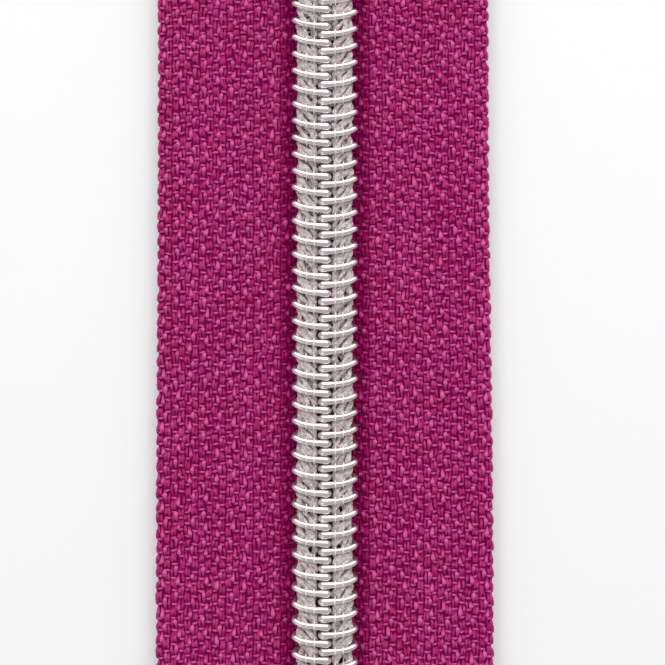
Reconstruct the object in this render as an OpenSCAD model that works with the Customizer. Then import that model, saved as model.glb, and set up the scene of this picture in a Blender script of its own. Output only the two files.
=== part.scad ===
// Closed-end coil zipper, size 5: two woven tapes, two interlocking filament coils sewn to them,
// an auto-lock slider with its pull, and the stops that keep the slider on the chain.
// X runs across the tapes, Y along the chain towards the end that opens, and Z up from the
// underside of the slider. Millimetres.

/* [Tape] */
// Length of each tape
tape_len = 140; // [136:1:200]
// Width of each tape
tape_w = 15; // [12:0.5:20]
// Thickness of the woven tape
tape_t = 0.55; // [0.45:0.05:0.55]
// Gap between the two inner edges
tape_gap = 0.5; // [0.3:0.1:0.8]

/* [Coil] */
// Distance along the chain from one turn to the next
pitch = 1.5; // [1.45:0.01:1.55]
// Diameter of the coil's filament
wire_d = 0.54; // [0.46:0.02:0.54]
// Width of the closed coil chain
chain_w = 6; // [5.8:0.1:6.2]
// How far each head reaches past the middle of the chain
head_past = 0.40; // [0.3:0.05:0.4]
// Height between the middles of a turn's lower and upper leg
leg_gap = 1.3; // [1.2:0.05:1.3]
// Lean of the legs away from square across the chain, in degrees
lean = 23.5; // [18:0.5:24]

/* [Thread and cord] */
// Diameter of the sewing threads
thread_d = 0.16; // [0.1:0.02:0.16]
// Width of the filler cord inside the coil
cord_w = 1.5; // [1.2:0.1:1.5]
// Height of the filler cord
cord_h = 0.66; // [0.5:0.02:0.66]

/* [Slider] */
// Length of the slider
slider_len = 12.5; // [12:0.5:13]
// Width across the slider's shoulders
shoulder_w = 11; // [10.8:0.1:12]
// Width at the slider's rear
rear_w = 8.2; // [7.8:0.1:8.6]
// Thickness of the lower plate
lower_t = 0.9; // [0.8:0.05:0.95]
// Thickness of the upper plate
upper_t = 1.0; // [0.8:0.1:1.2]
// Angle by which each side of the chain leaves the slider's mouth, in degrees
flare = 12; // [11:0.5:12]

/* [Pull] */
// Length of the pull from its crossbar's middle
pull_len = 21.5; // [18:0.5:22]
// Width of the pull
pull_w = 7; // [6.8:0.1:8]
// Thickness of the pull
pull_t = 1.2; // [0.8:0.1:1.2]
// Diameter of the hole near the pull's end
pull_hole_d = 3.2; // [2:0.1:3.4]

/* [Hidden] */
$fn = 48;

// Heights, from the slider's underside up
thread_r = thread_d / 2;
wire_r = wire_d / 2;
looper_z = lower_t + 0.1 + thread_r;
tape_z = looper_z + thread_r + 0.02;
tape_top = tape_z + tape_t;
lower_leg_z = tape_top + 0.02 + wire_r;
coil_z = lower_leg_z + leg_gap / 2;
upper_leg_z = lower_leg_z + leg_gap;
coil_top = upper_leg_z + wire_r;
needle_z = coil_top + 0.01 + thread_r;
upper_z = needle_z + thread_r + 0.18;
upper_top = upper_z + upper_t;

// Rows of stitching and the filler cord, as distances from the middle of the chain
inner_row = 0.9;
outer_row = 1.65;
cord_u = 1.29;

// Where each side of the chain turns out of line: it bends about a point beyond its outer edge
slider_y = 35.5;
mouth_y = slider_y + slider_len;
kink_y = mouth_y - 7.05;
bend_u = chain_w / 2;
bend_r = 17;
swing = bend_u + bend_r;
bend_y = kink_y - swing * tan(flare / 2);
bend_end = bend_y + bend_r * flare * PI / 180;
// Above the stops the tapes turn back until they lie parallel again
back_r = 40;
back_start = bend_end + 13;
back_centre = side_point(-back_r, back_start);
tape_end = tape_len / 2;

// Ends of the chain, and the point about which a side of it swings when the zipper opens
chain_start = -53.6;
chain_end = 51.6;
pivot_y = -44.7;
// Stations of the left coil's turns; the right coil's lie half a turn lower
coil_phase = 0.75;
// Each leg stops this far short of the bends at its ends
leg_short = 0.02;

// One turn of coil, in a frame turned by the lean
bend_rise = pitch * cos(lean) / 2;
turn_r = sqrt(pow(leg_gap, 2) + pow(bend_rise, 2)) / 2;
turn_tilt = atan2(bend_rise, leg_gap);
head_p = (turn_r * cos(lean) + wire_r - head_past - bend_rise * sin(lean) / 2) / cos(lean);
back_p = (bend_u - turn_r * cos(lean) - wire_r - 1.5 * bend_rise * sin(lean)) / cos(lean);
outer_p = back_p + pitch * sin(lean);
leg_mid = (head_p + outer_p) / 2;

// Stops
bottom_stop_y = [-53, -50.5];
top_stop_t = [48.6, 52.1];
stop_t = 0.5;
stop_low = looper_z - thread_r - 0.05 - stop_t;
stop_high = needle_z + thread_r + 0.07;
prong_u = chain_w / 2 + 0.3;

// Slider and pull
slider_clear = 0.25;
crown_w = 3.9;
crown_wall = 0.4;
crown_y = [1.4, 10.6];
crown_top = upper_top + 3.45;
crown_roof = crown_top - 0.45;
bar_r = 0.65;
bar_y = (crown_y[0] + crown_y[1]) / 2;
bar_z = upper_top + 0.1 + bar_r;
arm_gap = crown_w + 0.3;
slot_len = 5.1;

// Lock
pin_u = (inner_row + outer_row) / 2;
pin_w = 0.4;
pin_l = 0.5;
pin_y = 2.75;
pin_clear = 0.1;
pin_tip = coil_top - 0.3;
pawl_w = crown_w - 2 * crown_wall - 0.15;
pawl_z = bar_z + bar_r + 0.15;
pawl_t = 0.4;
pawl_y = [2.2, 9.6];
spring_t = 0.15;

magenta = "#95255f";
silver = "#b3a6a6";
nickel = "#b9babd";
grey_cord = "#a8a3a5";

// ---- Lines that follow one side of the chain ----

// The point at distance u outward from the middle of the chain and at station t along it,
// for the right side
function side_point(u, t) =
    t <= bend_y ? [u, t] :
    t <= bend_end ?
        let (a = (t - bend_y) / bend_r * 180 / PI)
        [swing - (swing - u) * cos(a), bend_y + (swing - u) * sin(a)] :
    [
        swing - (swing - u) * cos(flare) + (t - bend_end) * sin(flare),
        bend_y + (swing - u) * sin(flare) + (t - bend_end) * cos(flare)
    ];

// The point at distance u outward on the turn back, where the side leans by angle a
function back_point(u, a) = back_centre + (back_r + u) * [cos(a), -sin(a)];

// Points round an arc of radius r about c
function arc(c, r, from, to, steps) =
    [for (i = [0 : steps]) c + r * [cos(from + (to - from) * i / steps), sin(from + (to - from) * i / steps)]];

function reversed(points) = [for (i = [len(points) - 1 : -1 : 0]) points[i]];

// One edge of a tape from the pivot to the tape's end
function tape_edge(u) = concat(
    [[u, pivot_y]],
    [for (i = [0 : 3]) side_point(u, bend_y + (bend_end - bend_y) * i / 3)],
    [for (i = [0 : 3]) back_point(u, flare * (1 - i / 3))],
    [[back_point(u, 0)[0], tape_end]]
);

// Places children, made for the right side at station 0, at station t
module at_station(t) {
    if (t <= bend_y)
        translate([0, t, 0]) children();
    else if (t <= bend_end)
        translate([swing, bend_y, 0]) rotate([0, 0, -(t - bend_y) / bend_r * 180 / PI])
            translate([-swing, 0, 0]) children();
    else
        translate([swing, bend_y, 0]) rotate([0, 0, -flare])
            translate([-swing, t - bend_end, 0]) children();
}

// Runs a flat profile, drawn as distance outward and height, from station t0 to station t1
module run(t0, t1) {
    first_end = min(t1, bend_y);
    if (t0 < bend_y)
        translate([0, first_end, 0]) rotate([90, 0, 0]) linear_extrude(first_end - t0) children();
    if (t0 < bend_y && t1 > bend_end)
        translate([swing, bend_y, 0]) rotate([0, 0, 180 - flare])
            rotate_extrude(angle = flare) translate([swing, 0]) mirror([1, 0]) children();
    if (t1 > bend_end)
        translate([swing, bend_y, 0]) rotate([0, 0, -flare])
            translate([-swing, t1 - bend_end, 0]) rotate([90, 0, 0])
                linear_extrude(t1 - max(t0, bend_end)) children();
}

// The same child on the left side
module to_left() mirror([1, 0, 0]) children();

// ---- Tapes ----

module tape() {
    color(magenta) translate([0, 0, tape_z]) linear_extrude(tape_t)
        polygon(concat(tape_edge(tape_gap / 2), reversed(tape_edge(tape_gap / 2 + tape_w))));
}

// The closed end of a tape, slit where the bottom stop's prong passes through it
module tape_tail() {
    color(magenta) difference() {
        translate([tape_gap / 2, -tape_len / 2, tape_z])
            cube([tape_w, pivot_y + tape_len / 2, tape_t]);
        translate([prong_u - 0.02, bottom_stop_y[0] - 0.02, tape_z - 1])
            cube([stop_t + 0.04, bottom_stop_y[1] - bottom_stop_y[0] + 0.04, tape_t + 2]);
    }
}

module left_tape() to_left() tape();
module right_tape() tape();
module left_tape_tail() to_left() tape_tail();
module right_tape_tail() tape_tail();

// ---- Coils ----

// Half a ring of filament about the point at, joining two legs: side is 1 at the head, -1 at the back
module bend(at, side) {
    translate([at[0], at[1], coil_z]) rotate([-side * turn_tilt, 0, 0])
        rotate([0, -side * 90, 0]) rotate([90, 0, 0])
            rotate_extrude(angle = 180) translate([turn_r, 0]) circle(wire_r);
}

// A straight leg between the bends that end at p0 and p1
module leg(p0, p1, across, z) {
    translate([p0 + leg_short, across, z]) rotate([0, 90, 0])
        cylinder(h = p1 - p0 - 2 * leg_short, r = wire_r);
}

// One turn: down the upper leg to the head, back along the lower leg, and round to the next
module coil_turn() {
    translate([0, -leg_mid * sin(lean), 0]) rotate([0, 0, lean]) {
        leg(head_p, outer_p, 0, upper_leg_z);
        bend([head_p, -bend_rise / 2], 1);
        leg(head_p, back_p, -bend_rise, lower_leg_z);
        bend([back_p, -1.5 * bend_rise], -1);
    }
}

module coil(offset) {
    first = ceil((chain_start - offset) / pitch);
    last = floor((chain_end - offset) / pitch);
    color(silver) for (i = [first : last])
        at_station(offset + i * pitch) coil_turn();
}

module left_coil() to_left() coil(coil_phase);
module right_coil() coil(coil_phase - pitch / 2);

// ---- Filler cord and sewing threads ----

module filler_cord() {
    half = (cord_w - cord_h) / 2;
    color(grey_cord) run(chain_start, chain_end) translate([cord_u, coil_z]) {
        square([2 * half, cord_h], center = true);
        for (s = [-1, 1]) translate([s * half, 0]) circle(cord_h / 2);
    }
}

module thread(u, z) {
    color(magenta) run(chain_start, chain_end) translate([u, z]) circle(thread_r);
}

module left_filler_cord() to_left() filler_cord();
module right_filler_cord() filler_cord();
module left_inner_needle_thread() to_left() thread(inner_row, needle_z);
module left_outer_needle_thread() to_left() thread(outer_row, needle_z);
module right_inner_needle_thread() thread(inner_row, needle_z);
module right_outer_needle_thread() thread(outer_row, needle_z);

module looper_thread() {
    thread(inner_row, looper_z);
    thread(outer_row, looper_z);
}

module left_looper_thread() to_left() looper_thread();
module right_looper_thread() looper_thread();

// ---- Stops ----

// A clip folded round the head side of the coil, gripping the coil and the tape under it
module top_stop() {
    reach = prong_u + stop_t;
    web = -head_past - 0.1 - stop_t;
    color(nickel) run(top_stop_t[0], top_stop_t[1]) {
        translate([web, stop_high]) square([reach - web, stop_t]);
        translate([web, stop_low]) square([reach - web, stop_t]);
        translate([web, stop_low]) square([stop_t, stop_high - stop_low + stop_t]);
    }
}

module left_top_stop() to_left() top_stop();
module right_top_stop() top_stop();

// A staple over both coils, its prongs through the tapes and turned in beneath them
module bottom_stop() {
    prong = prong_u - 0.6;
    color(nickel) translate([0, bottom_stop_y[1], 0]) rotate([90, 0, 0])
        linear_extrude(bottom_stop_y[1] - bottom_stop_y[0]) {
            translate([-prong_u - stop_t, stop_high]) square([2 * (prong_u + stop_t), stop_t]);
            for (s = [0, 1]) mirror([s, 0]) {
                translate([prong_u, stop_low]) square([stop_t, stop_high - stop_low + stop_t]);
                translate([prong_u + stop_t - prong, stop_low]) square([prong, stop_t]);
            }
        }
}

// ---- Slider ----

// The plates' outline: narrow at the rear, wide at the shoulders
function plate_side(rear, shoulder) = concat(
    arc([rear - 1.2, 1.2], 1.2, -90, 0, 6),
    [[rear, 3.2]],
    arc([shoulder - 2, slider_len - 3], 2, 0, 50, 6),
    arc([shoulder - 3.3, slider_len - 1.2], 1.2, 50, 90, 4)
);

module plate_outline() {
    side = plate_side(rear_w / 2, shoulder_w / 2);
    polygon(concat(side, reversed([for (p = side) [-p[0], p[1]]])));
}

// The space between the flanges, through which the chain runs
module chain_channel() {
    rear = bend_u + slider_clear;
    front = rear + (slider_len - 2.4) * 0.19;
    polygon([
        [-rear, -1], [rear, -1], [rear, 3.4], [front, slider_len + 1],
        [-front, slider_len + 1], [-rear, 3.4]
    ]);
}

// Half-width of the wedge that parts the chain, at distance y from the slider's rear
function wedge_half(y) = tan(flare) * (y - (kink_y - slider_y)) - head_past - 0.12;

module slider_body() {
    wedge_start = (kink_y - slider_y) + (head_past + 0.16) / tan(flare);
    wedge_end = slider_len - 0.3;
    color(nickel) translate([0, slider_y, 0]) {
        linear_extrude(lower_t) plate_outline();
        difference() {
            translate([0, 0, upper_z]) linear_extrude(upper_t) plate_outline();
            translate([pin_u - pin_w / 2 - pin_clear, pin_y - pin_l / 2 - pin_clear, upper_z - 1])
                cube([pin_w + 2 * pin_clear, pin_l + 2 * pin_clear, upper_t + 2]);
        }
        translate([0, 0, tape_top + 0.17]) linear_extrude(upper_z - tape_top) difference() {
            plate_outline();
            chain_channel();
            translate([-shoulder_w, slider_len - 1.4]) square([2 * shoulder_w, 3]);
        }
        translate([0, 0, lower_t / 2]) linear_extrude(upper_z - lower_t / 2 + upper_t / 2)
            polygon([
                [-wedge_half(wedge_end), wedge_end], [-wedge_half(wedge_start), wedge_start],
                [wedge_half(wedge_start), wedge_start], [wedge_half(wedge_end), wedge_end]
            ]);
    }
}

// The hollow crown that holds the lock and the pull's crossbar
module slider_crown() {
    corner = 1.6;
    window = bar_r + 0.35;
    color(nickel) translate([0, slider_y, 0]) difference() {
        translate([-crown_w / 2, 0, 0]) rotate([90, 0, 90]) linear_extrude(crown_w)
            polygon(concat(
                [[crown_y[1], upper_top]],
                arc([crown_y[1] - corner, crown_top - corner], corner, 0, 90, 8),
                arc([crown_y[0] + corner, crown_top - corner], corner, 90, 180, 8),
                [[crown_y[0], upper_top]]
            ));
        translate([crown_wall - crown_w / 2, crown_y[0] + 0.5, upper_top - 1])
            cube([crown_w - 2 * crown_wall, crown_y[1] - crown_y[0] - 1, crown_roof - upper_top + 1]);
        translate([-crown_w, bar_y - window, upper_top - 1])
            cube([2 * crown_w, 2 * window, bar_z + bar_r + 0.1 - upper_top + 1]);
    }
}

// A bar across the crown with one pin, which drops between two turns of the right coil
module lock_pawl() {
    color(nickel) translate([0, slider_y, 0]) {
        translate([-pawl_w / 2, pawl_y[0], pawl_z]) cube([pawl_w, pawl_y[1] - pawl_y[0], pawl_t]);
        translate([pin_u - pin_w / 2, pin_y - pin_l / 2, pin_tip])
            cube([pin_w, pin_l, pawl_z + pawl_t / 2 - pin_tip]);
    }
}

// A bowed leaf spring between the pawl and the crown's roof
module lock_spring() {
    rise = crown_roof - pawl_z - pawl_t - 0.02;
    half = 3;
    r_out = (pow(half, 2) + pow(rise, 2)) / (2 * rise);
    r_in = r_out - spring_t;
    sweep = asin(half / r_out);
    sweep_in = acos((r_out - rise) / r_in);
    color(silver) translate([-0.9, slider_y + bar_y, crown_roof - 0.01 - r_out])
        rotate([90, 0, 90]) linear_extrude(1.8) polygon(concat(
            arc([0, 0], r_out, 90 - sweep, 90 + sweep, 12),
            arc([0, 0], r_in, 90 + sweep_in, 90 - sweep_in, 12)
        ));
}

// ---- Pull ----

module pull_tab() {
    half = pull_w / 2;
    waist = half - 0.6;
    color(nickel) translate([0, slider_y + bar_y, bar_z]) {
        translate([-half, 0, 0]) rotate([0, 90, 0]) cylinder(h = pull_w, r = bar_r);
        difference() {
            translate([0, 0, -pull_t / 2]) linear_extrude(pull_t) polygon(concat(
                [[-half, 0], [half, 0], [half, slot_len + 1.2]],
                [[waist, slot_len + 3.4], [half, pull_len - half]],
                arc([0, pull_len - half], half, 0, 180, 24),
                [[-waist, slot_len + 3.4], [-half, slot_len + 1.2]]
            ));
            translate([-arm_gap / 2, bar_r / 2, -pull_t]) cube([arm_gap, slot_len - bar_r / 2, 2 * pull_t]);
            translate([0, pull_len - half, -pull_t]) cylinder(h = 2 * pull_t, d = pull_hole_d);
        }
    }
}

left_tape();
right_tape();
left_tape_tail();
right_tape_tail();
left_coil();
right_coil();
left_filler_cord();
right_filler_cord();
left_inner_needle_thread();
left_outer_needle_thread();
right_inner_needle_thread();
right_outer_needle_thread();
left_looper_thread();
right_looper_thread();
left_top_stop();
right_top_stop();
bottom_stop();
slider_body();
slider_crown();
lock_pawl();
lock_spring();
pull_tab();
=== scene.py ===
"""Looks of a size 5 coil zipper: woven tapes, metallised coils, sewing threads and plated metal parts.

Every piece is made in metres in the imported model's frame: X across the tapes, Y along the chain
towards the end that opens, Z up. Sizes in the classes are millimetres.
"""

import logging
import math
from collections.abc import Callable, Sequence
from dataclasses import dataclass
from enum import Enum

import bpy
import numpy as np
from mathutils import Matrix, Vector


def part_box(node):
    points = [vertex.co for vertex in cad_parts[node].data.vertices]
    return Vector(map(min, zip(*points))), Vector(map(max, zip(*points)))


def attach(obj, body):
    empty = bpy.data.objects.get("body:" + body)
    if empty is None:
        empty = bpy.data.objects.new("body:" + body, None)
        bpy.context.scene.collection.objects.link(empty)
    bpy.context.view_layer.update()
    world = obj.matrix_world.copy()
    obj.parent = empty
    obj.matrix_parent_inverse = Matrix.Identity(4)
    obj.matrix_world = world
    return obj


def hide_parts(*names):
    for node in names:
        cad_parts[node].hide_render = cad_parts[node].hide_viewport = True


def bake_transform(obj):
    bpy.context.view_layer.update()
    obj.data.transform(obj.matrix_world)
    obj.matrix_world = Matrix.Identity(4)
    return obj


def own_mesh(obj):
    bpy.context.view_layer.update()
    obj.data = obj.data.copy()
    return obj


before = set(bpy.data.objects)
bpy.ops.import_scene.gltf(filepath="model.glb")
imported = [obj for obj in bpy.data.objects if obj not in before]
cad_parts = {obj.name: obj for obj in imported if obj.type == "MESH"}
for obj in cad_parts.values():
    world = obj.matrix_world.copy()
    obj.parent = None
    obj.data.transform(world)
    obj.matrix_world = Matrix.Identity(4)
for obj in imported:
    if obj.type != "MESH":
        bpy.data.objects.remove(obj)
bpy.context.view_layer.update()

MM = 0.001
LOG = logging.getLogger("zipper")
CLOSED_END = "closed_end"
SLIDER = "slider"


class Side(Enum):
    """The two sides of the zipper, with the sign of X on each."""

    LEFT = -1
    RIGHT = 1

    @property
    def label(self) -> str:
        """The side's name as it stands in node and body names."""
        return self.name.lower()

    @property
    def body(self) -> str:
        """The CAD body that carries this side of the chain."""
        return f"{self.label}_stringer"


# ---------------------------------------------------------------- meshes


@dataclass
class Shape:
    """Points and quads of a mesh, in millimetres, with one value per point of painted light and tone."""

    points: np.ndarray
    quads: np.ndarray
    light_and_tone: np.ndarray

    @staticmethod
    def joined(shapes: "Sequence[Shape]") -> "Shape":
        """Joins several shapes into one.

        Args:
            shapes: The shapes to join.

        Returns:
            One shape that holds them all.
        """
        starts = np.cumsum([0] + [len(s.points) for s in shapes[:-1]])
        return Shape(
            np.concatenate([s.points for s in shapes]),
            np.concatenate([s.quads + n for s, n in zip(shapes, starts)]),
            np.concatenate([s.light_and_tone for s in shapes]),
        )

    def to_object(self, name: str, flipped: bool = False) -> bpy.types.Object:
        """Makes a smooth-shaded Blender object of the shape.

        Args:
            name: The object's name.
            flipped: True turns every face over, as a mirrored shape needs.

        Returns:
            The new object, at the origin, with its place in its mesh.
        """
        quads = self.quads[:, ::-1] if flipped else self.quads
        mesh = bpy.data.meshes.new(name)
        mesh.vertices.add(len(self.points))
        mesh.vertices.foreach_set("co", (self.points * MM).astype(np.float32).ravel())
        mesh.loops.add(quads.size)
        mesh.loops.foreach_set("vertex_index", quads.astype(np.int32).ravel())
        mesh.polygons.add(len(quads))
        mesh.polygons.foreach_set("loop_start", np.arange(0, quads.size, 4, dtype=np.int32))
        mesh.update(calc_edges=True)
        mesh.shade_smooth()
        layer = mesh.attributes.new("light_and_tone", "FLOAT", "POINT")
        layer.data.foreach_set("value", self.light_and_tone.astype(np.float32))
        obj = bpy.data.objects.new(name, mesh)
        bpy.context.scene.collection.objects.link(obj)
        return obj


def unit(vectors: np.ndarray) -> np.ndarray:
    """Scales each row to length one."""
    return vectors / np.maximum(np.linalg.norm(vectors, axis=1, keepdims=True), 1e-12)


def sweep(
    path: np.ndarray,
    half_sizes: np.ndarray,
    sides: int,
    reference: Sequence[float],
    light_and_tone: np.ndarray | float = 0.0,
) -> Shape:
    """Sweeps an oval along a path and closes both ends with a point.

    Args:
        path: The middle line, one row per ring.
        half_sizes: Two rows' worth per ring: the oval's half-width towards the reference
            direction and its half-height square to it.
        sides: Corners of each ring.
        reference: A direction that the path never runs along.
        light_and_tone: Painted light and tone, one value per ring, or one for all.

    Returns:
        The closed tube.
    """
    tangent = unit(np.gradient(path, axis=0))
    ref = np.asarray(reference, float)
    first = unit(ref - (tangent @ ref)[:, None] * tangent)
    second = np.cross(tangent, first)
    angle = np.arange(sides) * 2 * math.pi / sides
    half = np.broadcast_to(np.asarray(half_sizes, float), (len(path), 2))
    rings = (
        path[:, None, :]
        + np.cos(angle)[None, :, None] * (first * half[:, :1])[:, None, :]
        + np.sin(angle)[None, :, None] * (second * half[:, 1:])[:, None, :]
    )
    count = len(path)
    i = np.arange(count - 1)[:, None] * sides
    j = np.arange(sides)[None, :]
    k = (j + 1) % sides
    quads = np.stack([i + j, i + k, i + sides + k, i + sides + j], axis=-1).reshape(-1, 4)
    tips = np.stack([path[0], path[-1]])
    low, high = count * sides, count * sides + 1
    last = (count - 1) * sides
    odd = np.arange(0, sides, 2)
    caps = np.concatenate(
        [
            np.stack([np.full_like(odd, low), (odd + 2) % sides, (odd + 1) % sides, odd], -1),
            np.stack(
                [np.full_like(odd, high), last + odd, last + (odd + 1) % sides, last + (odd + 2) % sides],
                -1,
            ),
        ]
    )
    values = np.broadcast_to(np.asarray(light_and_tone, float), (count,))
    return Shape(
        np.concatenate([rings.reshape(-1, 3), tips]),
        np.concatenate([quads, caps]),
        np.concatenate([np.repeat(values, sides), values[[0, -1]]]),
    )


def smooth_through(keys: np.ndarray, steps: int, period: float | None = None) -> np.ndarray:
    """Runs a smooth (Catmull-Rom) line through key rows.

    Args:
        keys: The rows to pass through.
        steps: Rows made for each span between two keys.
        period: If given, the keys repeat with this step in the second column.

    Returns:
        The rows of the line; for a repeating line, one period without its last row.
    """
    if period is None:
        padded = np.concatenate([2 * keys[:1] - keys[1:2], keys, 2 * keys[-1:] - keys[-2:-1]])
        spans = len(keys) - 1
    else:
        shift = np.zeros(keys.shape[1])
        shift[1] = period
        padded = np.concatenate([keys[-1:] - shift, keys, keys[:2] + shift])
        spans = len(keys)
    f = (np.arange(steps) / steps)[:, None]
    rows = []
    for n in range(spans):
        a, b, c, d = padded[n : n + 4]
        rows.append(
            0.5 * (2 * b + (c - a) * f + (2 * a - 5 * b + 4 * c - d) * f**2 + (3 * b - a - 3 * c + d) * f**3)
        )
    if period is None:
        rows.append(keys[-1:])
    return np.concatenate(rows)


def ripple(x: np.ndarray, y: np.ndarray, seed: float) -> np.ndarray:
    """A fixed, smooth, irregular field between about -1 and 1.

    Args:
        x: First coordinate, in millimetres.
        y: Second coordinate, in millimetres.
        seed: Shifts the field, so that each use has its own.

    Returns:
        The field's value at each point.
    """
    waves = ((1.9, 1.1), (-1.3, 2.3), (3.7, -0.9), (0.6, 3.9), (-2.9, -2.1))
    total = sum(np.sin(a * x + b * y + seed * (n + 1.7)) for n, (a, b) in enumerate(waves))
    return total / len(waves) * 1.6


# ---------------------------------------------------------------- the chain's line


@dataclass(frozen=True)
class ChainLine:
    """The line that each side of the chain follows, and the map from a straight side to it.

    A point of a side is u, its distance outward from the middle of the chain, and t, its
    station along it.
    """

    mouth_y: float
    tape_end: float
    flare: float = math.radians(12)
    bend_u: float = 3.0
    bend_r: float = 17.0
    back_r: float = 40.0
    kink_below_mouth: float = 7.05
    straight_above: float = 13.0

    @property
    def swing(self) -> float:
        """Distance of the bend's centre from the middle of the chain."""
        return self.bend_u + self.bend_r

    @property
    def bend_y(self) -> float:
        """Station where the side starts to turn outward."""
        return self.mouth_y - self.kink_below_mouth - self.swing * math.tan(self.flare / 2)

    @property
    def bend_end(self) -> float:
        """Station where the side has turned by the whole flare."""
        return self.bend_y + self.bend_r * self.flare

    @property
    def back_start(self) -> float:
        """Station where the tape starts to turn back."""
        return self.bend_end + self.straight_above

    @property
    def back_centre(self) -> np.ndarray:
        """Centre of the turn back."""
        return self._flared(np.array([-self.back_r]), np.array([self.back_start]))[0]

    @property
    def end_station(self) -> float:
        """Station of the tape's open end."""
        turned = self.back_start + self.back_r * self.flare
        return turned + self.tape_end - self.back_centre[1]

    def _flared(self, u: np.ndarray, t: np.ndarray) -> np.ndarray:
        """Points on the straight stretch that leans by the whole flare."""
        cos, sin = math.cos(self.flare), math.sin(self.flare)
        reach, along = self.swing - u, t - self.bend_end
        return np.stack([self.swing - reach * cos + along * sin, self.bend_y + reach * sin + along * cos], -1)

    def _eased(self, u: np.ndarray, t: np.ndarray) -> np.ndarray:
        """Stations at which cloth lies when it gives over a long stretch and not only in the bends."""
        def rise(start: float, length: float) -> np.ndarray:
            f = np.clip((t - start) / length, 0, 1)
            return f * f * (3 - 2 * f)

        lost = self.flare * (u - self.bend_u) * rise(self.bend_y - 13, 29)
        gained = self.flare * u * rise(self.back_start - 8, 19)
        run = t - lost + gained
        bend = (self.swing - u) * self.flare
        turn = (self.back_r + u) * self.flare
        ends = (self.bend_y, self.bend_y + bend, self.bend_y + bend + self.straight_above)
        return np.select(
            [run <= ends[0], run <= ends[1], run <= ends[2], run <= ends[2] + turn],
            [
                run,
                self.bend_y + (run - ends[0]) / (self.swing - u) * self.bend_r,
                run - ends[1] + self.bend_end,
                self.back_start + (run - ends[2]) / (self.back_r + u) * self.back_r,
            ],
            run - ends[2] - turn + self.back_start + self.back_r * self.flare,
        )

    def place(self, side: Side, points: np.ndarray, cloth: bool = False) -> np.ndarray:
        """Puts points of a straight side where they really lie.

        Args:
            side: The side they belong to.
            points: Rows of u, t and height.
            cloth: True for the tape, whose rows keep nearly even distances round the bends.

        Returns:
            Rows of X, Y and Z.
        """
        u, t = points[:, 0], points[:, 1]
        if cloth:
            t = self._eased(u, t)
        turn = np.clip((t - self.bend_y) / self.bend_r, 0, self.flare)
        reach = self.swing - u
        bent = np.stack([self.swing - reach * np.cos(turn), self.bend_y + reach * np.sin(turn)], -1)
        left = np.clip(self.flare - (t - self.back_start) / self.back_r, 0, self.flare)
        centre = self.back_centre
        beyond = np.maximum(t - self.back_start - self.back_r * self.flare, 0)
        away = self.back_r + u
        back = np.stack([centre[0] + away * np.cos(left), centre[1] - away * np.sin(left) + beyond], -1)
        flat = np.select(
            [(t <= self.bend_y)[:, None], (t <= self.bend_end)[:, None], (t <= self.back_start)[:, None]],
            [np.stack([u, t], -1), bent, self._flared(u, t)],
            back,
        )
        return np.column_stack([flat[:, 0] * side.value, flat[:, 1], points[:, 2]])


# ---------------------------------------------------------------- shader groups


class Nodes:
    """A small helper that places and links shader nodes in one tree."""

    def __init__(self, tree: bpy.types.NodeTree) -> None:
        """Keeps the tree that the nodes go into."""
        self.tree = tree

    def add(self, kind: str, inputs: dict | None = None, **settings: object) -> bpy.types.Node:
        """Adds a node.

        Args:
            kind: The node's type name.
            inputs: Values or sockets for its inputs, by name or number.
            **settings: The node's own properties.

        Returns:
            The new node.
        """
        node = self.tree.nodes.new(kind)
        for key, value in settings.items():
            setattr(node, key, value)
        for key, value in (inputs or {}).items():
            if isinstance(value, bpy.types.NodeSocket):
                self.tree.links.new(value, node.inputs[key])
            else:
                node.inputs[key].default_value = value
        return node

    def math(self, operation: str, a: object, b: object = 0.0) -> bpy.types.NodeSocket:
        """A Math node's result."""
        return self.add("ShaderNodeMath", {0: a, 1: b}, operation=operation).outputs[0]

    def ramp(self, factor: bpy.types.NodeSocket, low: float, high: float) -> bpy.types.NodeSocket:
        """A smooth step of factor from low to high."""
        node = self.add(
            "ShaderNodeMapRange",
            {"Value": factor, "From Min": low, "From Max": high},
            interpolation_type="SMOOTHSTEP",
        )
        return node.outputs["Result"]

    def mix(self, factor: object, a: object, b: object, blend: str = "MIX") -> bpy.types.NodeSocket:
        """A colour mix's result."""
        node = self.add("ShaderNodeMix", data_type="RGBA", blend_type=blend)
        for socket, value in zip((node.inputs[0], node.inputs[6], node.inputs[7]), (factor, a, b)):
            if isinstance(value, bpy.types.NodeSocket):
                self.tree.links.new(value, socket)
            else:
                socket.default_value = value
        return node.outputs[2]

    def noise(self, scale: Sequence[float], detail: float = 2.0) -> bpy.types.NodeSocket:
        """Noise on object coordinates, with its own scale along each axis.

        Args:
            scale: Waves per metre along X, Y and Z.
            detail: Octaves.

        Returns:
            The noise's value.
        """
        place = self.add("ShaderNodeTexCoord").outputs["Object"]
        stretched = self.add("ShaderNodeMapping", {"Vector": place, "Scale": tuple(scale)}).outputs[0]
        noise = self.add("ShaderNodeTexNoise", {"Vector": stretched, "Scale": 1.0, "Detail": detail})
        return noise.outputs["Fac"]


def new_group(name: str, inputs: dict[str, tuple[str, object]], outputs: dict[str, str]) -> tuple:
    """Makes a shader node group with its sockets.

    Args:
        name: The group's name.
        inputs: Socket kind and default value by name.
        outputs: Socket kind by name.

    Returns:
        The group, its helper, its input node and its output node.
    """
    tree = bpy.data.node_groups.new(name, "ShaderNodeTree")
    for label, (kind, value) in inputs.items():
        tree.interface.new_socket(label, in_out="INPUT", socket_type=kind).default_value = value
    for label, kind in outputs.items():
        tree.interface.new_socket(label, in_out="OUTPUT", socket_type=kind)
    nodes = Nodes(tree)
    return tree, nodes, nodes.add("NodeGroupInput"), nodes.add("NodeGroupOutput")


FLOAT, COLOUR, VECTOR = "NodeSocketFloat", "NodeSocketColor", "NodeSocketVector"
WHITE = (1.0, 1.0, 1.0, 1.0)


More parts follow.
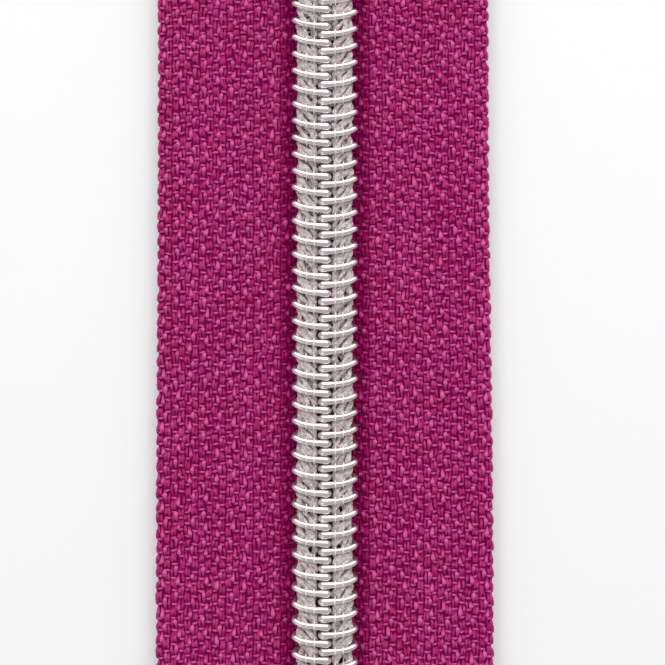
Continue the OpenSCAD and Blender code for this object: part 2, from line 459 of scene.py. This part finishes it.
def fibre_and_light_group() -> bpy.types.NodeTree:
    """Filament fibres and painted light: streaks that lighten, darken and roughen a yarn, and each point's
    light_and_tone value painted as colour, a painted highlight where it is high and painted shade where it is low.

    Returns:
        The group, with a deep and a bright colour in, and colour, roughness and normal out.
    """
    tree, n, given, out = new_group(
        "fibre_and_light",
        {
            "Deep": (COLOUR, WHITE),
            "Bright": (COLOUR, WHITE),
            "Across X": (FLOAT, 9000.0),
            "Across Y": (FLOAT, 900.0),
            "Bump": (FLOAT, 0.3),
            "Depth": (FLOAT, 0.00002),
            "Mottle": (FLOAT, 1.0),
        },
        {"Color": COLOUR, "Roughness": FLOAT, "Normal": VECTOR},
    )
    place = n.add("ShaderNodeTexCoord").outputs["Object"]
    scale = n.add(
        "ShaderNodeCombineXYZ", {0: given.outputs["Across X"], 1: given.outputs["Across Y"], 2: 4000.0}
    ).outputs[0]
    stretched = n.add("ShaderNodeMapping", {"Vector": place, "Scale": scale}).outputs[0]
    streak = n.add("ShaderNodeTexNoise", {"Vector": stretched, "Scale": 1.0, "Detail": 2.0}).outputs["Fac"]
    uneven = n.noise((420.0, 420.0, 420.0), 3.0)
    # Painted light: each point's light_and_tone value makes raised floats and dashes lighter as a painted highlight,
    # and low floats and the groove beside the coil darker as painted shade; it also carries random tone.
    light_and_tone = n.add("ShaderNodeAttribute", attribute_name="light_and_tone").outputs["Fac"]
    mottle = n.math("MULTIPLY", n.math("SUBTRACT", streak, 0.5), given.outputs["Mottle"])
    amount = n.math("ADD", light_and_tone, mottle)
    amount = n.math("ADD", amount, n.math("MULTIPLY", n.math("SUBTRACT", uneven, 0.5), 0.7))
    colour = n.mix(n.ramp(amount, -0.35, 1.15), given.outputs["Deep"], given.outputs["Bright"])
    # Painted shade: the lowest values are darkened further, as shade in grooves and under floats.
    shade = n.mix(n.ramp(amount, -1.3, -0.25), (0.42, 0.36, 0.40, 1.0), (1.0, 1.0, 1.0, 1.0))
    colour = n.mix(1.0, colour, shade, "MULTIPLY")
    bump = n.add(
        "ShaderNodeBump",
        {"Strength": given.outputs["Bump"], "Distance": given.outputs["Depth"], "Height": streak},
    ).outputs[0]
    n.tree.links.new(colour, out.inputs["Color"])
    rough = n.math("SUBTRACT", 0.82, n.math("MULTIPLY", n.math("MAXIMUM", light_and_tone, 0.0), 0.2))
    n.tree.links.new(rough, out.inputs["Roughness"])
    n.tree.links.new(bump, out.inputs["Normal"])
    return tree


def plating_group() -> bpy.types.NodeTree:
    """A plated surface: faint mottling, fine rubbing marks and a soft ripple.

    Returns:
        The group, with a colour in, and colour, roughness and normal out.
    """
    tree, n, given, out = new_group(
        "plating",
        {
            "Metal": (COLOUR, WHITE),
            "Gloss": (FLOAT, 0.25),
            "Grain": (FLOAT, 1500.0),
            "Bump": (FLOAT, 0.2),
        },
        {"Color": COLOUR, "Roughness": FLOAT, "Normal": VECTOR},
    )
    place = n.add("ShaderNodeTexCoord").outputs["Object"]
    grain = n.add(
        "ShaderNodeTexNoise", {"Vector": place, "Scale": given.outputs["Grain"], "Detail": 4.0}
    ).outputs["Fac"]
    cloud = n.noise((260.0, 180.0, 260.0), 2.0)
    dull = n.mix(n.ramp(cloud, 0.35, 0.75), (1.0, 1.0, 1.0, 1.0), (0.86, 0.85, 0.85, 1.0))
    n.tree.links.new(n.mix(1.0, given.outputs["Metal"], dull, "MULTIPLY"), out.inputs["Color"])
    rough = n.math("ADD", given.outputs["Gloss"], n.math("MULTIPLY", n.math("SUBTRACT", grain, 0.5), 0.25))
    n.tree.links.new(rough, out.inputs["Roughness"])
    bump = n.add(
        "ShaderNodeBump", {"Strength": given.outputs["Bump"], "Distance": 0.00003, "Height": grain}
    ).outputs[0]
    n.tree.links.new(bump, out.inputs["Normal"])
    return tree


# ---------------------------------------------------------------- finishes


@dataclass(frozen=True)
class Finish:
    """What every finish has: the material's name."""

    name: str

    def _start(self) -> tuple[bpy.types.Material, Nodes, bpy.types.Node]:
        """Makes an empty node material.

        Returns:
            The material, its node helper and its surface shader.
        """
        material = bpy.data.materials.new(self.name)
        material.use_nodes = True
        return material, Nodes(material.node_tree), material.node_tree.nodes["Principled BSDF"]

    def _through(self, n: Nodes, shader: bpy.types.Node, tree: bpy.types.NodeTree, values: dict) -> None:
        """Feeds the shader's colour, roughness and normal from a group."""
        group = n.add("ShaderNodeGroup", node_tree=tree)
        for key, value in values.items():
            group.inputs[key].default_value = value
        for source, target in (("Color", "Base Color"), ("Roughness", "Roughness"), ("Normal", "Normal")):
            n.tree.links.new(group.outputs[source], shader.inputs[target])


@dataclass(frozen=True)
class YarnFinish(Finish):
    """Dyed filament yarn."""

    deep: tuple[float, float, float]
    bright: tuple[float, float, float]
    across: tuple[float, float] = (8500.0, 4200.0)
    tint: tuple[float, float, float] = (1.0, 1.0, 1.0)
    gloss: float = 0.15
    bump: float = 0.3
    depth: float = 0.035
    mottle: float = 1.5

    def build(self, fibre_and_light: bpy.types.NodeTree) -> bpy.types.Material:
        """Makes the material.

        Args:
            fibre_and_light: The shared group of fibres and painted light.

        Returns:
            The material.
        """
        material, n, shader = self._start()
        values = {
            "Deep": (*self.deep, 1.0),
            "Bright": (*self.bright, 1.0),
            "Across X": self.across[0],
            "Across Y": self.across[1],
            "Bump": self.bump,
            "Depth": self.depth * MM,
            "Mottle": self.mottle,
        }
        self._through(n, shader, fibre_and_light, values)
        shader.inputs["Specular IOR Level"].default_value = self.gloss
        shader.inputs["Specular Tint"].default_value = (*self.tint, 1.0)
        return material


@dataclass(frozen=True)
class MetalFinish(Finish):
    """Plated metal, or filament with a metallic coat."""

    colour: tuple[float, float, float]
    gloss: float = 0.25
    grain: float = 1500.0
    bump: float = 0.2
    metallic: float = 1.0

    def build(self, plating: bpy.types.NodeTree) -> bpy.types.Material:
        """Makes the material.

        Args:
            plating: The shared plating group.

        Returns:
            The material.
        """
        material, n, shader = self._start()
        values = {"Metal": (*self.colour, 1.0), "Gloss": self.gloss, "Grain": self.grain, "Bump": self.bump}
        self._through(n, shader, plating, values)
        shader.inputs["Metallic"].default_value = self.metallic
        return material


@dataclass
class Finishes:
    """All materials of the zipper."""

    warp: bpy.types.Material
    weft: bpy.types.Material
    ground: bpy.types.Material
    filament: bpy.types.Material
    cord: bpy.types.Material
    thread: bpy.types.Material
    slider: bpy.types.Material
    stop: bpy.types.Material
    spring: bpy.types.Material

    @classmethod
    def build(cls) -> "Finishes":
        """Makes every material once."""
        fibre_and_light, plating = fibre_and_light_group(), plating_group()
        # Painted light: the magenta yarn is painted between a deep colour as its painted shade and a bright colour as
        # its painted highlight, by each point's light_and_tone value.
        deep, bright, pink = (0.36, 0.007, 0.118), (0.66, 0.105, 0.34), (1.0, 0.30, 0.58)
        # Painted shade: the ground's colour is the magenta darkened as the shaded gaps between floats.
        under = (0.21, 0.003, 0.08)
        return cls(
            warp=YarnFinish("magenta_warp", deep, bright, tint=pink).build(fibre_and_light),
            weft=YarnFinish("magenta_weft", deep, bright, (4200.0, 8500.0), pink).build(fibre_and_light),
            ground=YarnFinish("shaded_magenta_ground", under, under, tint=pink, gloss=0.1).build(fibre_and_light),
            # Silver and grey, with a faint pink tint on the filament, cord and thread that is painted reflection of
            # light from the magenta tape.
            filament=MetalFinish(
                "silver_filament", (0.88, 0.80, 0.80), 0.17, 700.0, 0.03, metallic=0.86
            ).build(plating),
            cord=YarnFinish(
                "grey_cord", (0.46, 0.38, 0.39), (0.90, 0.79, 0.80), (6000.0, 4000.0), bump=1.0, depth=0.25, mottle=2.4
            ).build(fibre_and_light),
            thread=YarnFinish("grey_thread", (0.36, 0.31, 0.315), (0.88, 0.80, 0.81), gloss=1.0).build(fibre_and_light),
            slider=MetalFinish("nickel_plate", (0.52, 0.51, 0.495), 0.27, 900.0, 0.10).build(plating),
            stop=MetalFinish("nickel_strip", (0.52, 0.51, 0.50), 0.30, 1600.0, 0.20).build(plating),
            spring=MetalFinish("spring_steel", (0.56, 0.56, 0.58), 0.32, 1200.0, 0.15).build(plating),
        )


def dress(obj: bpy.types.Object, material: bpy.types.Material) -> None:
    """Gives an object one material in place of any it has."""
    obj.data.materials.clear()
    obj.data.materials.append(material)


# ---------------------------------------------------------------- tapes


class Float(Enum):
    """How bright a stretch of yarn is painted for how high it lies: a painted highlight on raised floats and dashes,
    painted shade where it goes under.
    """

    UNDER = -0.1
    FLAT = 0.12
    RAISED = 0.95
    DASH = 0.9


@dataclass
class Weave:
    """One woven tape: two-ply warp ends, a single weft that turns at both edges, and the ground.

    The cloth repeats every four ends and four picks. Each warp end lies flat over one pick, goes
    under the next, rises again with one ply standing proud, and goes under the fourth.
    """

    line: ChainLine
    start: float
    inner: float = 0.25
    outer: float = 15.25
    low: float = 1.18
    columns: int = 24
    pick: float = 0.6
    ply_r: float = 0.145
    weft_r: float = 0.085
    sewn: tuple[float, float] = (-55.0, 53.0)
    wander_left: float = 0.20
    wander_right: float = 0.50

    # Each end's flat float, its proud ply's place and its plain ply's place, in columns and picks
    # from the start of the repeat, and whether the proud ply is the right-hand one
    ENDS = (
        ((-0.06, 0.87), (0.34, 2.40), (-0.30, 2.80), True),
        ((1.06, 1.77), (0.71, 4.36), (1.26, 3.96), False),
        ((2.00, 0.87), (2.31, 3.30), (1.79, 2.94), True),
        ((3.09, 3.93), (2.69, 5.44), (3.26, 5.80), False),
    )

    @property
    def column(self) -> float:
        """Distance between two warp ends."""
        return (self.outer - self.inner) / self.columns

    @property
    def repeats(self) -> int:
        """Weave repeats along the tape."""
        return round((self.line.end_station - self.start) / (4 * self.pick))

    @property
    def row(self) -> float:
        """Distance between two picks, such that whole repeats fill the tape."""
        return (self.line.end_station - self.start) / (4 * self.repeats)

    def _ply(self, end: int, right: bool) -> tuple[np.ndarray, np.ndarray, np.ndarray]:
        """One repeat of one ply.

        Args:
            end: Which of the repeat's four ends.
            right: True for the end's right-hand ply.

        Returns:
            Rows of column, pick and height; half-widths; and painted light.
        """
        flat, proud, plain, proud_is_right = self.ENDS[end]
        side = 0.5 if right else -0.5
        high, under = self.low + 0.42, self.low + 0.20
        if proud_is_right == right:
            second = (proud[0], proud[1], high + 0.05, Float.RAISED.value, 1.42, 0.11)
        else:
            second = (plain[0], plain[1], high - 0.03, Float.FLAT.value, 1.10, 0.12)
        spread = 0.38 * side
        dive_u = (flat[0] + second[0]) / 2 + spread / 2
        first_dive, second_dive = (flat[1] + second[1]) / 2, (second[1] + flat[1] + 4) / 2
        # Each key: column, pick, height, painted light for that height, and size.
        keys = [
            (flat[0] + spread, flat[1] - 0.20, high - 0.02, Float.FLAT.value, 1.20),
            (flat[0] + spread, flat[1] + 0.20, high - 0.02, Float.FLAT.value, 1.20),
            (dive_u, first_dive - 0.27, under, Float.UNDER.value, 0.75),
            (dive_u, first_dive + 0.27, under, Float.UNDER.value, 0.75),
            (second[0], second[1] - second[5], second[2], second[3], second[4]),
            (second[0], second[1] + second[5], second[2], second[3], second[4]),
            (dive_u, second_dive - 0.27, under, Float.UNDER.value, 0.75),
            (dive_u, second_dive + 0.27, under, Float.UNDER.value, 0.75),
        ]
        line = smooth_through(np.array(keys), 2, period=4.0)
        return line[:, :3], line[:, 4], line[:, 3]

    def _shift(self, points: np.ndarray, side: Side) -> np.ndarray:
        """Adds the small unevenness of real cloth and narrows the tape where it is drawn in.

        Args:
            points: Rows of u, t and height, in millimetres.
            side: The tape's side.

        Returns:
            The moved rows.
        """
        u, t = points[:, 0], points[:, 1]
        seed = 2.0 + side.value
        moved = points.copy()
        calm = np.clip((u - self.inner) / 1.5, 0, 1) * np.clip((self.outer - u) / 0.8, 0.25, 1)
        moved[:, 0] += 0.085 * calm * ripple(u * 0.9, t * 0.8, seed)
        moved[:, 1] += 0.19 * ripple(u * 0.65, t * 0.5, seed + 3.1)
        moved[:, 2] += 0.02 * ripple(u * 1.7, t * 1.9, seed + 5.3)
        drawn = self.wander_left if side is Side.LEFT else self.wander_right
        along = 0.5 + 0.5 * np.tanh((t + 8.0) / 16.0)
        moved[:, 0] -= drawn * along * np.clip((u - 4.0) / 11.0, 0, 1)
        moved[:, 0] += 0.035 * np.clip((u - 13.5) / 1.5, 0, 1) * np.sin(t * 2.6 + seed)
        moved[:, 2] -= 0.14 * self._groove(u, t) * np.clip((points[:, 2] - self.low) / 0.4, 0, 1)
        return moved

    def _groove(self, u: np.ndarray, t: np.ndarray) -> np.ndarray:
        """How deep each point lies in the groove that the stitching pulls beside the coil, which both lowers the floats
        and darkens them as painted shade.
        """
        along = np.clip((t - self.sewn[0]) / 2, 0, 1) * np.clip((self.sewn[1] - t) / 2, 0, 1)
        return np.exp(-(((u - 3.1) / 0.75) ** 4)) * along

    def _warp(self, side: Side, first: int, count: int) -> Shape:
        """Some of the warp ends, side by side.

        Args:
            side: The tape's side.
            first: The first end.
            count: How many ends.

        Returns:
            The ends' plies, in place.
        """
        shapes = []
        for column in range(first, first + count):
            for right in (False, True):
                points, size, light_and_tone = self._ply(column % 4, right)
                reps = self.repeats
                path = np.tile(points, (reps, 1))
                path[:, 1] += np.repeat(np.arange(reps) * 4.0, len(points))
                base = column - column % 4 + 0.5
                u = self.inner + (path[:, 0] + base) * self.column
                t = self.start + path[:, 1] * self.row
                t = np.clip(t, self.start, self.line.end_station)
                u = np.clip(u, self.inner + self.ply_r, self.outer - self.ply_r)
                keep = np.concatenate([[True], np.diff(t) > 1e-4])
                path = np.column_stack([u, t, path[:, 2]])[keep]
                seed = side.value * 2.0 + 0.3 * right
                own = ripple(path[:, 0] * 3.1, path[:, 1] * 2.3, seed)
                lean = ripple(path[:, 0] * 4.3, path[:, 1] * 1.7, seed + 9.0)
                path = self._shift(path, side)
                path += np.column_stack([0.055 * lean, 0.10 * own, 0.035 * own])
                half = np.tile(size, reps)[keep, None] * np.array([[self.ply_r, self.ply_r * 0.85]])
                half = half * (1 + 0.14 * lean[:, None])
                tone_and_light = np.tile(light_and_tone, reps)[keep]
                # Painted light and shade: the float's painted light, random tone, and painted shade in the groove
                # beside the coil.
                tone_and_light = tone_and_light * (1 + 0.5 * lean) + 0.16 * own - 0.85 * self._groove(path[:, 0], path[:, 1])
                shapes.append(sweep(path, half, 5, (1, 0, 0), tone_and_light))
        return Shape.joined(shapes)

    def _weft(self, side: Side) -> Shape:
        """The weft: one yarn to and fro across the whole tape, turning at each edge."""
        high, under = self.low + 0.41, self.low + 0.14
        picks = self.repeats * 4
        order = np.arange(self.columns)
        rows, tone_and_light = [], []
        for number in range(picks):
            t = self.start + (number + 0.93) * self.row
            over = (order + number) % 2 == 1
            u = self.inner + (order + 0.5) * self.column
            z = np.where(over, high, under)
            edge_u = self.inner + np.arange(self.columns + 1) * self.column
            mids = np.column_stack([edge_u, np.full(self.columns + 1, t), np.full(self.columns + 1, self.low + 0.17)])
            tops = np.column_stack([u, np.full(self.columns, t), z])
            pick = np.empty((2 * self.columns + 1, 3))
            pick[0::2], pick[1::2] = mids, tops
            # Painted light: the weft is lighter where it passes over an end and darker where it goes under.
            value = np.full(len(pick), Float.FLAT.value)
            value[1::2] = np.where(over, Float.DASH.value, Float.UNDER.value)
            turn_u = self.outer + 0.02 if number % 2 == 0 else self.inner - 0.02
            turn = np.array([[turn_u, t + 0.28 * self.row, self.low + 0.27], [turn_u, t + 0.72 * self.row, self.low + 0.27]])
            if number % 2:
                pick, value = pick[::-1], value[::-1]
            rows += [pick, turn]
            tone_and_light += [value, np.full(2, 0.5)]
        path = np.concatenate(rows[:-1])
        light_and_tone = np.concatenate(tone_and_light[:-1])
        path[:, 1] = np.minimum(path[:, 1], self.line.end_station - 0.1)
        half = np.column_stack([np.full(len(path), self.weft_r), self.weft_r * (1.05 + 0.45 * light_and_tone)])
        # Painted shade in the groove beside the coil.
        light_and_tone = light_and_tone - 0.85 * self._groove(path[:, 0], path[:, 1])
        return sweep(self._shift(path, side), half, 6, (0, 0, 1), light_and_tone)

    def _ground(self, side: Side) -> Shape:
        """The dense inner layer of the cloth, a thin closed sheet between the floats."""
        stations = np.linspace(self.start + 0.05, self.line.end_station - 0.05, 281)
        across = np.linspace(self.inner + 0.12, self.outer - 0.12, 25)
        grid = []
        for z in (self.low + 0.22, self.low + 0.26):
            u, t = np.meshgrid(across, stations)
            grid.append(np.column_stack([u.ravel(), t.ravel(), np.full(u.size, z)]))
        count, wide = len(stations), len(across)
        i = np.arange(count - 1)[:, None] * wide
        j = np.arange(wide - 1)[None, :]
        bottom = np.stack([i + j, i + wide + j, i + wide + j + 1, i + j + 1], -1).reshape(-1, 4)
        layer = count * wide
        top = bottom[:, ::-1] + layer
        rim = np.concatenate(
            [
                np.arange(wide - 1),
                np.arange(count - 1) * wide + wide - 1,
                layer - 1 - np.arange(wide - 1),
                layer - wide - np.arange(count - 1) * wide,
            ]
        )
        follow = np.roll(rim, -1)
        walls = np.stack([rim, follow, follow + layer, rim + layer], -1)
        points = self._shift(np.concatenate(grid), side)
        return Shape(points, np.concatenate([bottom, top, walls]), np.zeros(len(points)))

    def build(self, side: Side, finishes: Finishes) -> bpy.types.Object:
        """Makes one tape's pieces and puts them in place.

        Args:
            side: The tape's side.
            finishes: The zipper's materials.

        Returns:
            The ground, which stands for the CAD tape.
        """
        ground = self._ground(side)
        # The ground is dressed in the darkened magenta that paints the shade in the gaps between floats.
        parts = [("ground", ground, finishes.ground)]
        third = self.columns // 3
        for number in range(3):
            parts.append((f"warp_{number + 1}", self._warp(side, number * third, third), finishes.warp))
        parts.append(("weft", self._weft(side), finishes.weft))
        pieces = []
        for label, shape, material in parts:
            shape.points = self.line.place(side, shape.points, cloth=True)
            obj = shape.to_object(f"{side.label}_tape_{label}", flipped=side is Side.LEFT)
            dress(obj, material)
            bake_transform(obj)
            pieces.append(obj)
        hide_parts(f"{side.label}_tape", f"{side.label}_tape_tail")
        return pieces[0]


# ---------------------------------------------------------------- coil, cord and threads


@dataclass
class Coil:
    """One side's coil with its filler cord and its sewing threads."""

    line: ChainLine
    phase: float
    chain_start: float = -53.6
    chain_end: float = 51.6
    pitch: float = 1.5
    wire_r: float = 0.28
    lower_z: float = 2.02
    upper_z: float = 3.31
    tape_low: float = 1.10
    thread_r: float = 0.075
    rows: tuple[float, float] = (0.95, 1.66)
    dips: tuple[float, float] = (0.64, 0.85)
    plies: int = 9
    # The cord stays below the tip of the slider's lock pin
    cord_top: float = 3.26

    @property
    def stations(self) -> np.ndarray:
        """Stations of the coil's turns."""
        first = math.ceil((self.chain_start - self.phase) / self.pitch)
        last = math.floor((self.chain_end - self.phase) / self.pitch)
        return self.phase + np.arange(first, last + 1) * self.pitch

    def _turn(self) -> np.ndarray:
        """One turn of the filament: along the upper leg, round the head, and back below.

        Returns:
            Rows of u, t, height, half-width and half-height.
        """
        up, low = self.upper_z, self.lower_z
        keys = [
            (2.66, 0.36, up - 0.16, 1.0, 1.0),
            (2.22, 0.12, up, 1.0, 1.0),
            (1.50, -0.04, up, 1.0, 0.98),
            (0.80, -0.12, up, 1.08, 0.96),
            (0.20, -0.17, up - 0.01, 1.20, 0.98),
            (-0.20, -0.19, up - 0.05, 1.30, 1.02),
            (-0.37, -0.21, up - 0.34, 1.28, 1.02),
            (-0.37, -0.23, low + 0.36, 1.22, 1.02),
            (-0.16, -0.26, low + 0.06, 1.12, 1.0),
            (0.30, -0.31, low, 1.0, 1.0),
            (1.40, -0.50, low, 1.0, 1.0),
            (2.30, -0.80, low + 0.04, 1.0, 1.0),
            (2.68, -1.00, low + 0.34, 0.98, 1.0),
            (2.74, -1.10, up - 0.50, 0.98, 1.0),
        ]
        return smooth_through(np.array(keys), 2, period=-self.pitch)

    def _filament(self) -> Shape:
        """The whole coil as one unbroken filament."""
        turn = self._turn()
        stations = self.stations[::-1]
        path = np.tile(turn, (len(stations), 1))
        path[:, 1] += np.repeat(stations, len(turn))
        half = path[:, 3:5] * self.wire_r
        return sweep(path[:, :3], half, 12, (0, 1, 0))

    def _cord(self) -> Shape:
        """The filler cord: loosely twisted plies, pressed flat by the legs and bulging between them."""
        t = np.arange(self.chain_start, self.chain_end, 0.13)
        middle_u, middle_z = 1.57, (self.upper_z + self.lower_z) / 2 + 0.11
        phase = (t - self.phase + 0.04) / self.pitch * 2 * math.pi
        swell = 0.10 * (0.5 - 0.5 * np.cos(phase))
        shapes = []
        for ply in range(self.plies):
            angle = 2 * math.pi * (ply / self.plies - t / 5.3) + 0.9 * ripple(t * 0.4, t * 0.1, ply + 1.0)
            u = middle_u + 0.72 * np.cos(angle) + 0.06 * ripple(t * 1.7, t * 0.7, ply + 4.0)
            z = middle_z + 0.24 * np.sin(angle) + swell + 0.06 * ripple(t * 2.6, t * 1.1, ply + 8.0)
            z = np.minimum(z, self.cord_top - 0.20)
            half = np.column_stack([0.23 + 0.05 * np.sin(phase + ply), 0.20 + 0 * t])
            tone_and_light = 0.40 + 0.45 * ripple(t * 2.9, t * 1.3, ply + 2.0)
            shapes.append(sweep(np.column_stack([u, t, z]), half, 8, (1, 0, 0), tone_and_light))
        return Shape.joined(shapes)

    def _needle_thread(self, row: float, dip: float) -> Shape:
        """A needle thread: over each upper leg and down beside it, along one row.

        Args:
            row: The row's distance from the middle of the chain.
            dip: How far the thread goes down between two legs.

        Returns:
            The thread.
        """
        steps = 12
        count = int((self.chain_end - self.chain_start) / self.pitch * steps)
        t = np.linspace(self.chain_start, self.chain_end, count)
        leg = -0.04 + (1.5 - row) * -0.14
        phase = (t - self.phase - leg) / self.pitch * 2 * math.pi
        over = np.clip((np.cos(phase) + 0.35) / 1.2, 0, 1) ** 0.8
        top = self.upper_z + self.wire_r + self.thread_r * 0.6
        z = top - dip + dip * over
        u = row + 0.04 * ripple(t * 0.8, t * 0.5, row)
        half = np.full((count, 2), self.thread_r)
        # Painted highlight: the thread is lighter where it lies over a leg, and painted shade darkens it where it goes
        # down between legs.
        return sweep(np.column_stack([u, t, z]), half, 8, (1, 0, 0), 0.15 + 0.85 * over)

    def _looper_thread(self, row: float) -> Shape:
        """The under thread of one row of lock stitches: a run of short links below the tape."""
        count = int((self.chain_end - self.chain_start) / self.pitch * 10)
        t = np.linspace(self.chain_start, self.chain_end, count)
        phase = (t - self.phase) / self.pitch * 2 * math.pi
        z = self.tape_low + 0.02 + 0.09 * np.clip(np.cos(phase), 0.2, 1)
        u = row + 0.05 * np.sin(phase)
        return sweep(np.column_stack([u, t, z]), np.full((count, 2), 0.09), 8, (1, 0, 0), 0.5)

    def build(self, side: Side, finishes: Finishes) -> None:
        """Makes one side's coil, cord and threads and puts them in place.

        Args:
            side: The side.
            finishes: The zipper's materials.
        """
        name = side.label
        loopers = Shape.joined([self._looper_thread(row) for row in self.rows])
        parts = (
            (f"{name}_coil", self._filament(), finishes.filament, "coil"),
            (f"{name}_filler_cord", self._cord(), finishes.cord, "filler_cord"),
            (f"{name}_inner_needle_thread", self._needle_thread(self.rows[0], self.dips[0]), finishes.thread, "thread"),
            (f"{name}_outer_needle_thread", self._needle_thread(self.rows[1], self.dips[1]), finishes.thread, "thread"),
            (f"{name}_looper_thread", loopers, finishes.thread, "thread"),
        )
        for node, shape, material, slot in parts:
            shape.points = self.line.place(side, shape.points)
            obj = shape.to_object(f"{node}_made", flipped=side is Side.LEFT)
            dress(obj, material)
            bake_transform(obj)
            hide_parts(node)


# ---------------------------------------------------------------- metal parts


def rounded_copy(node: str, width: float, segments: int = 3) -> bpy.types.Object:
    """A copy of a CAD node with its corners rounded.

    Args:
        node: The CAD node.
        width: The rounding's width, in millimetres.
        segments: Steps in each rounding.

    Returns:
        The new object.
    """
    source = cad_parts[node]
    obj = bpy.data.objects.new(f"{node}_made", source.data.copy())
    bpy.context.scene.collection.objects.link(obj)
    bpy.ops.object.select_all(action="DESELECT")
    bpy.context.view_layer.objects.active = obj
    obj.select_set(True)
    bpy.ops.object.mode_set(mode="EDIT")
    bpy.ops.mesh.select_all(action="SELECT")
    bpy.ops.mesh.remove_doubles(threshold=1e-6)
    bpy.ops.mesh.dissolve_limited(angle_limit=math.radians(1.0))
    bpy.ops.object.mode_set(mode="OBJECT")
    bevel = obj.modifiers.new("rounding", "BEVEL")
    bevel.width = width * MM
    bevel.segments = segments
    bevel.limit_method = "ANGLE"
    bevel.angle_limit = math.radians(35)
    bevel.harden_normals = False
    bpy.ops.object.modifier_apply(modifier=bevel.name)
    bpy.ops.object.shade_smooth_by_angle(angle=math.radians(32))
    return obj


@dataclass
class Hardware:
    """The slider, its crown, lock and pull, and the stops."""

    rounding: float = 0.14
    edge: float = 0.03
    flattened: float = 0.42

    def build(self, finishes: Finishes) -> None:
        """Rounds and dresses the metal parts.

        Args:
            finishes: The zipper's materials.
        """
        parts = (
            ("slider_body", SLIDER, finishes.slider, "slider_metal", self.rounding),
            ("slider_crown", SLIDER, finishes.slider, "slider_metal", self.rounding),
            ("pull_tab", "pull", finishes.slider, "slider_metal", self.rounding * 1.4),
            ("bottom_stop", CLOSED_END, finishes.stop, "stop_metal", self.rounding),
            ("left_top_stop", Side.LEFT.body, finishes.stop, "stop_metal", self.rounding),
            ("right_top_stop", Side.RIGHT.body, finishes.stop, "stop_metal", self.rounding),
        )
        for node, body, material, slot, width in parts:
            obj = rounded_copy(node, width)
            dress(obj, material)
            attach(obj, body)
            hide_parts(node)
        spring = rounded_copy("lock_spring", self.edge)
        pawl = rounded_copy("lock_pawl", self.edge)
        for obj, node, body in ((spring, "lock_spring", SLIDER), (pawl, "lock_pawl", "lock")):
            dress(obj, finishes.spring)
            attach(obj, body)
            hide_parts(node)
        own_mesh(spring)


# ---------------------------------------------------------------- camera, floor and light


@dataclass
class Studio:
    """A camera straight above the closed chain, a pale floor and soft light from the open end."""

    centre_x: float = 0.70
    centre_y: float = -7.45
    focus_z: float = 3.3
    view_width: float = 59.72
    lens: float = 100.0
    sensor: float = 36.0

    def camera(self) -> None:
        """Makes the camera."""
        data = bpy.data.cameras.new("camera")
        data.lens, data.sensor_width = self.lens, self.sensor
        data.clip_start, data.clip_end = 0.005, 10.0
        camera = bpy.data.objects.new("camera", data)
        distance = self.view_width * self.lens / self.sensor
        camera.location = (self.centre_x * MM, self.centre_y * MM, (self.focus_z + distance) * MM)
        bpy.context.scene.collection.objects.link(camera)
        bpy.context.scene.camera = camera

    def floor(self) -> None:
        """Makes a plain pale floor that the camera sees as near white, with the shadow kept."""
        bpy.ops.object.select_all(action="DESELECT")
        bpy.ops.mesh.primitive_plane_add(size=4.0, location=(0, 0, -0.00002))
        floor = bpy.context.object
        floor.name = "floor"
        material = bpy.data.materials.new("pale_floor")
        material.use_nodes = True
        n = Nodes(material.node_tree)
        shader = material.node_tree.nodes["Principled BSDF"]
        shader.inputs["Base Color"].default_value = (0.80, 0.80, 0.80, 1.0)
        shader.inputs["Roughness"].default_value = 0.9
        shader.inputs["Emission Color"].default_value = (1.0, 1.0, 1.0, 1.0)
        path = n.add("ShaderNodeLightPath")
        seen = n.math("MAXIMUM", path.outputs["Is Camera Ray"], path.outputs["Is Transmission Ray"])
        seen = n.math("MAXIMUM", seen, path.outputs["Is Glossy Ray"])
        n.tree.links.new(n.math("MULTIPLY", seen, 0.157), shader.inputs["Emission Strength"])
        floor.data.materials.append(material)

    def light(self) -> None:
        """Makes the soft light: a large panel towards +Y, a weaker one opposite, and a pale world."""
        world = bpy.data.worlds.new("world")
        bpy.context.scene.world = world
        world.use_nodes = True
        background = world.node_tree.nodes["Background"]
        background.inputs["Color"].default_value = (1.0, 1.0, 1.0, 1.0)
        background.inputs["Strength"].default_value = 0.46
        panels = (
            ("key", (0.04, 0.36, 0.27), (0.90, 0.62), 3.3),
            ("fill", (-0.30, -0.34, 0.36), (0.36, 0.36), 0.25),
        )
        for name, place, size, power in panels:
            data = bpy.data.lights.new(name, "AREA")
            data.shape, data.energy = "RECTANGLE", power
            data.size, data.size_y = size
            lamp = bpy.data.objects.new(name, data)
            lamp.location = place
            lamp.rotation_euler = (Vector((0, 0, 0)) - Vector(place)).to_track_quat("-Z", "Y").to_euler()
            bpy.context.scene.collection.objects.link(lamp)

    def build(self) -> None:
        """Sets the scene around the zipper."""
        self.camera()
        self.floor()
        self.light()
        bpy.context.scene.view_settings.view_transform = "Standard"


def main() -> None:
    """Builds the studio and every piece of the zipper, in order."""
    logging.basicConfig(level=logging.INFO, format="%(name)s: %(message)s")
    Studio().build()
    finishes = Finishes.build()
    line = ChainLine(mouth_y=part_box("slider_body")[1].y / MM, tape_end=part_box("left_tape")[1].y / MM)
    tape_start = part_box("left_tape_tail")[0].y / MM
    for side, phase in ((Side.LEFT, 0.75), (Side.RIGHT, 0.0)):
        tape = Weave(line, tape_start).build(side, finishes)
        LOG.info("wove %s", tape.name)
        Coil(line, phase).build(side, finishes)
        LOG.info("wound and sewed the %s coil", side.label)
    Hardware().build(finishes)
    LOG.info("dressed the metal parts")


if __name__ == "__main__":
    main()
